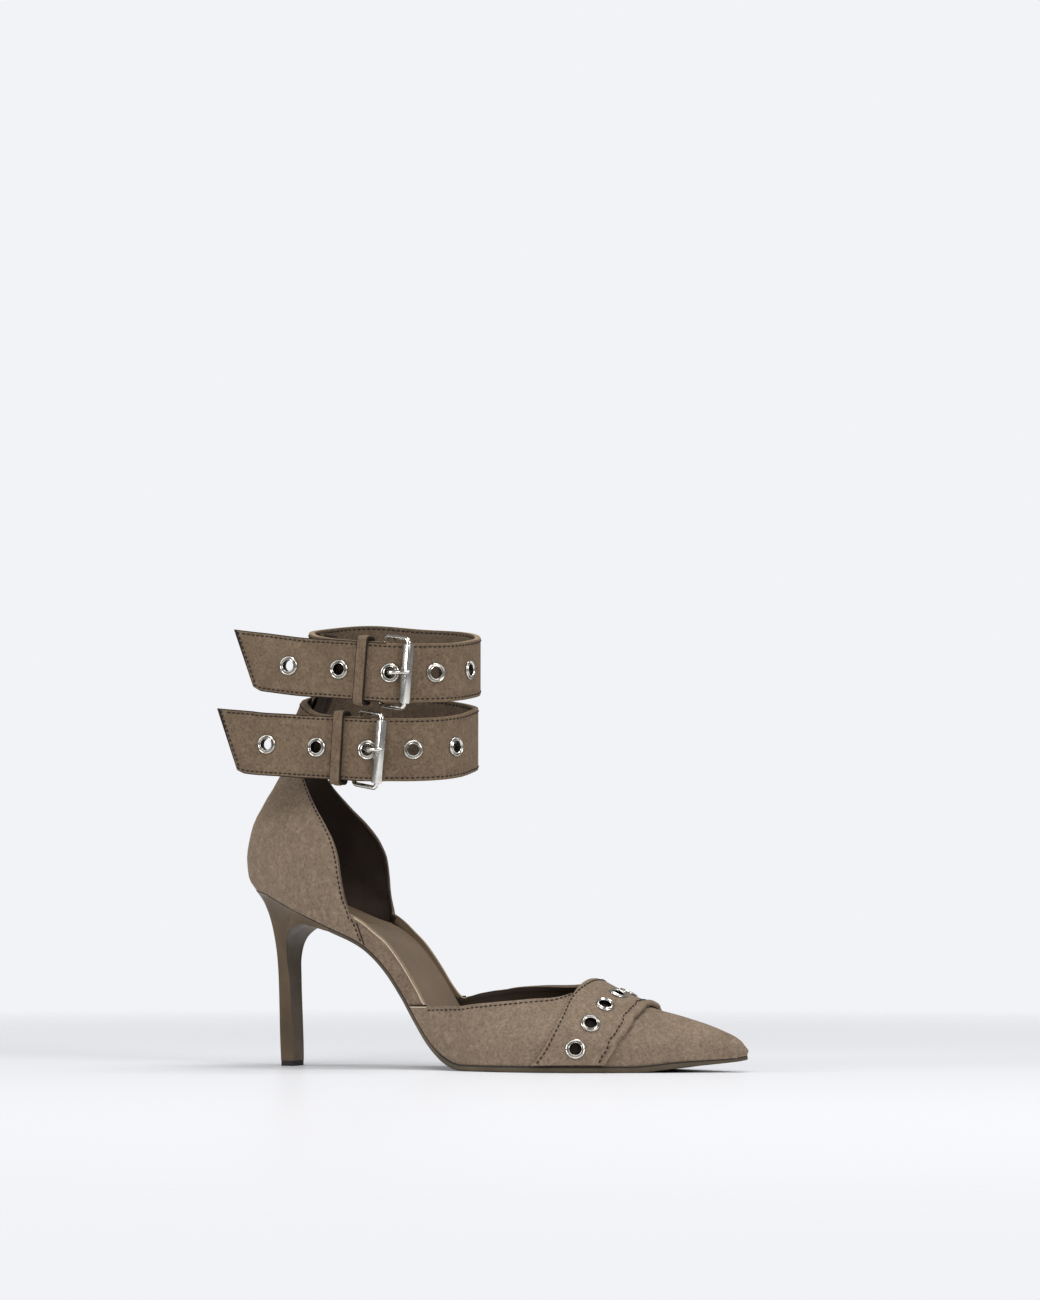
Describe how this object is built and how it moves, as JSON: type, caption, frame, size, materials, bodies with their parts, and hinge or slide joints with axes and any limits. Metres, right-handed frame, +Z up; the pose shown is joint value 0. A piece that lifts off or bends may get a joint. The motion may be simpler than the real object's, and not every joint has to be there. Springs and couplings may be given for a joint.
{
  "type": "buckle strap heeled shoe",
  "caption": "Right pointed court shoe with a high slim heel, cut-away sides, an eyeleted vamp band and wide buckled ankle straps.",
  "frame": {"origin": "centre of the bounding box, on the floor plane", "axes": "+X towards the toe, +Y towards the inner (medial) side of the foot, +Z up"},
  "size_m": [0.2436, 0.0814, 0.2038],
  "materials": {
    "suede": "soft matt suede",
    "lining_leather": "smooth satin",
    "sole_leather": "smooth matt",
    "heel_cover": "smooth satin wrap",
    "top_lift_plastic": "matt dark polyurethane",
    "band_suede": "soft matt suede with folded edges",
    "nickel": "polished nickel plating",
    "strap_suede": "soft matt suede with stitched edges"
  },
  "bodies": {
    "root": {"upper": "suede", "insole": "lining_leather", "outsole": "sole_leather", "heel": "heel_cover", "top_lift": "top_lift_plastic", "vamp_band": "band_suede", "band_eyelet_outer_1": "nickel", "band_eyelet_outer_2": "nickel", "band_eyelet_outer_3": "nickel", "band_eyelet_outer_4": "nickel", "band_eyelet_inner_1": "nickel", "band_eyelet_inner_2": "nickel", "band_eyelet_inner_3": "nickel", "band_eyelet_inner_4": "nickel", "strap_upper": "strap_suede", "keeper_upper": "strap_suede", "prong_upper": "nickel", "strap_eyelet_upper_1": "nickel", "strap_eyelet_upper_2": "nickel", "strap_eyelet_upper_3": "nickel", "strap_eyelet_upper_4": "nickel", "strap_eyelet_upper_5": "nickel", "buckle_upper": "nickel", "roller_upper": "nickel", "strap_lower": "strap_suede", "keeper_lower": "strap_suede", "prong_lower": "nickel", "strap_eyelet_lower_1": "nickel", "strap_eyelet_lower_2": "nickel", "strap_eyelet_lower_3": "nickel", "strap_eyelet_lower_4": "nickel", "strap_eyelet_lower_5": "nickel", "buckle_lower": "nickel", "roller_lower": "nickel"}
  },
  "joints": []
}
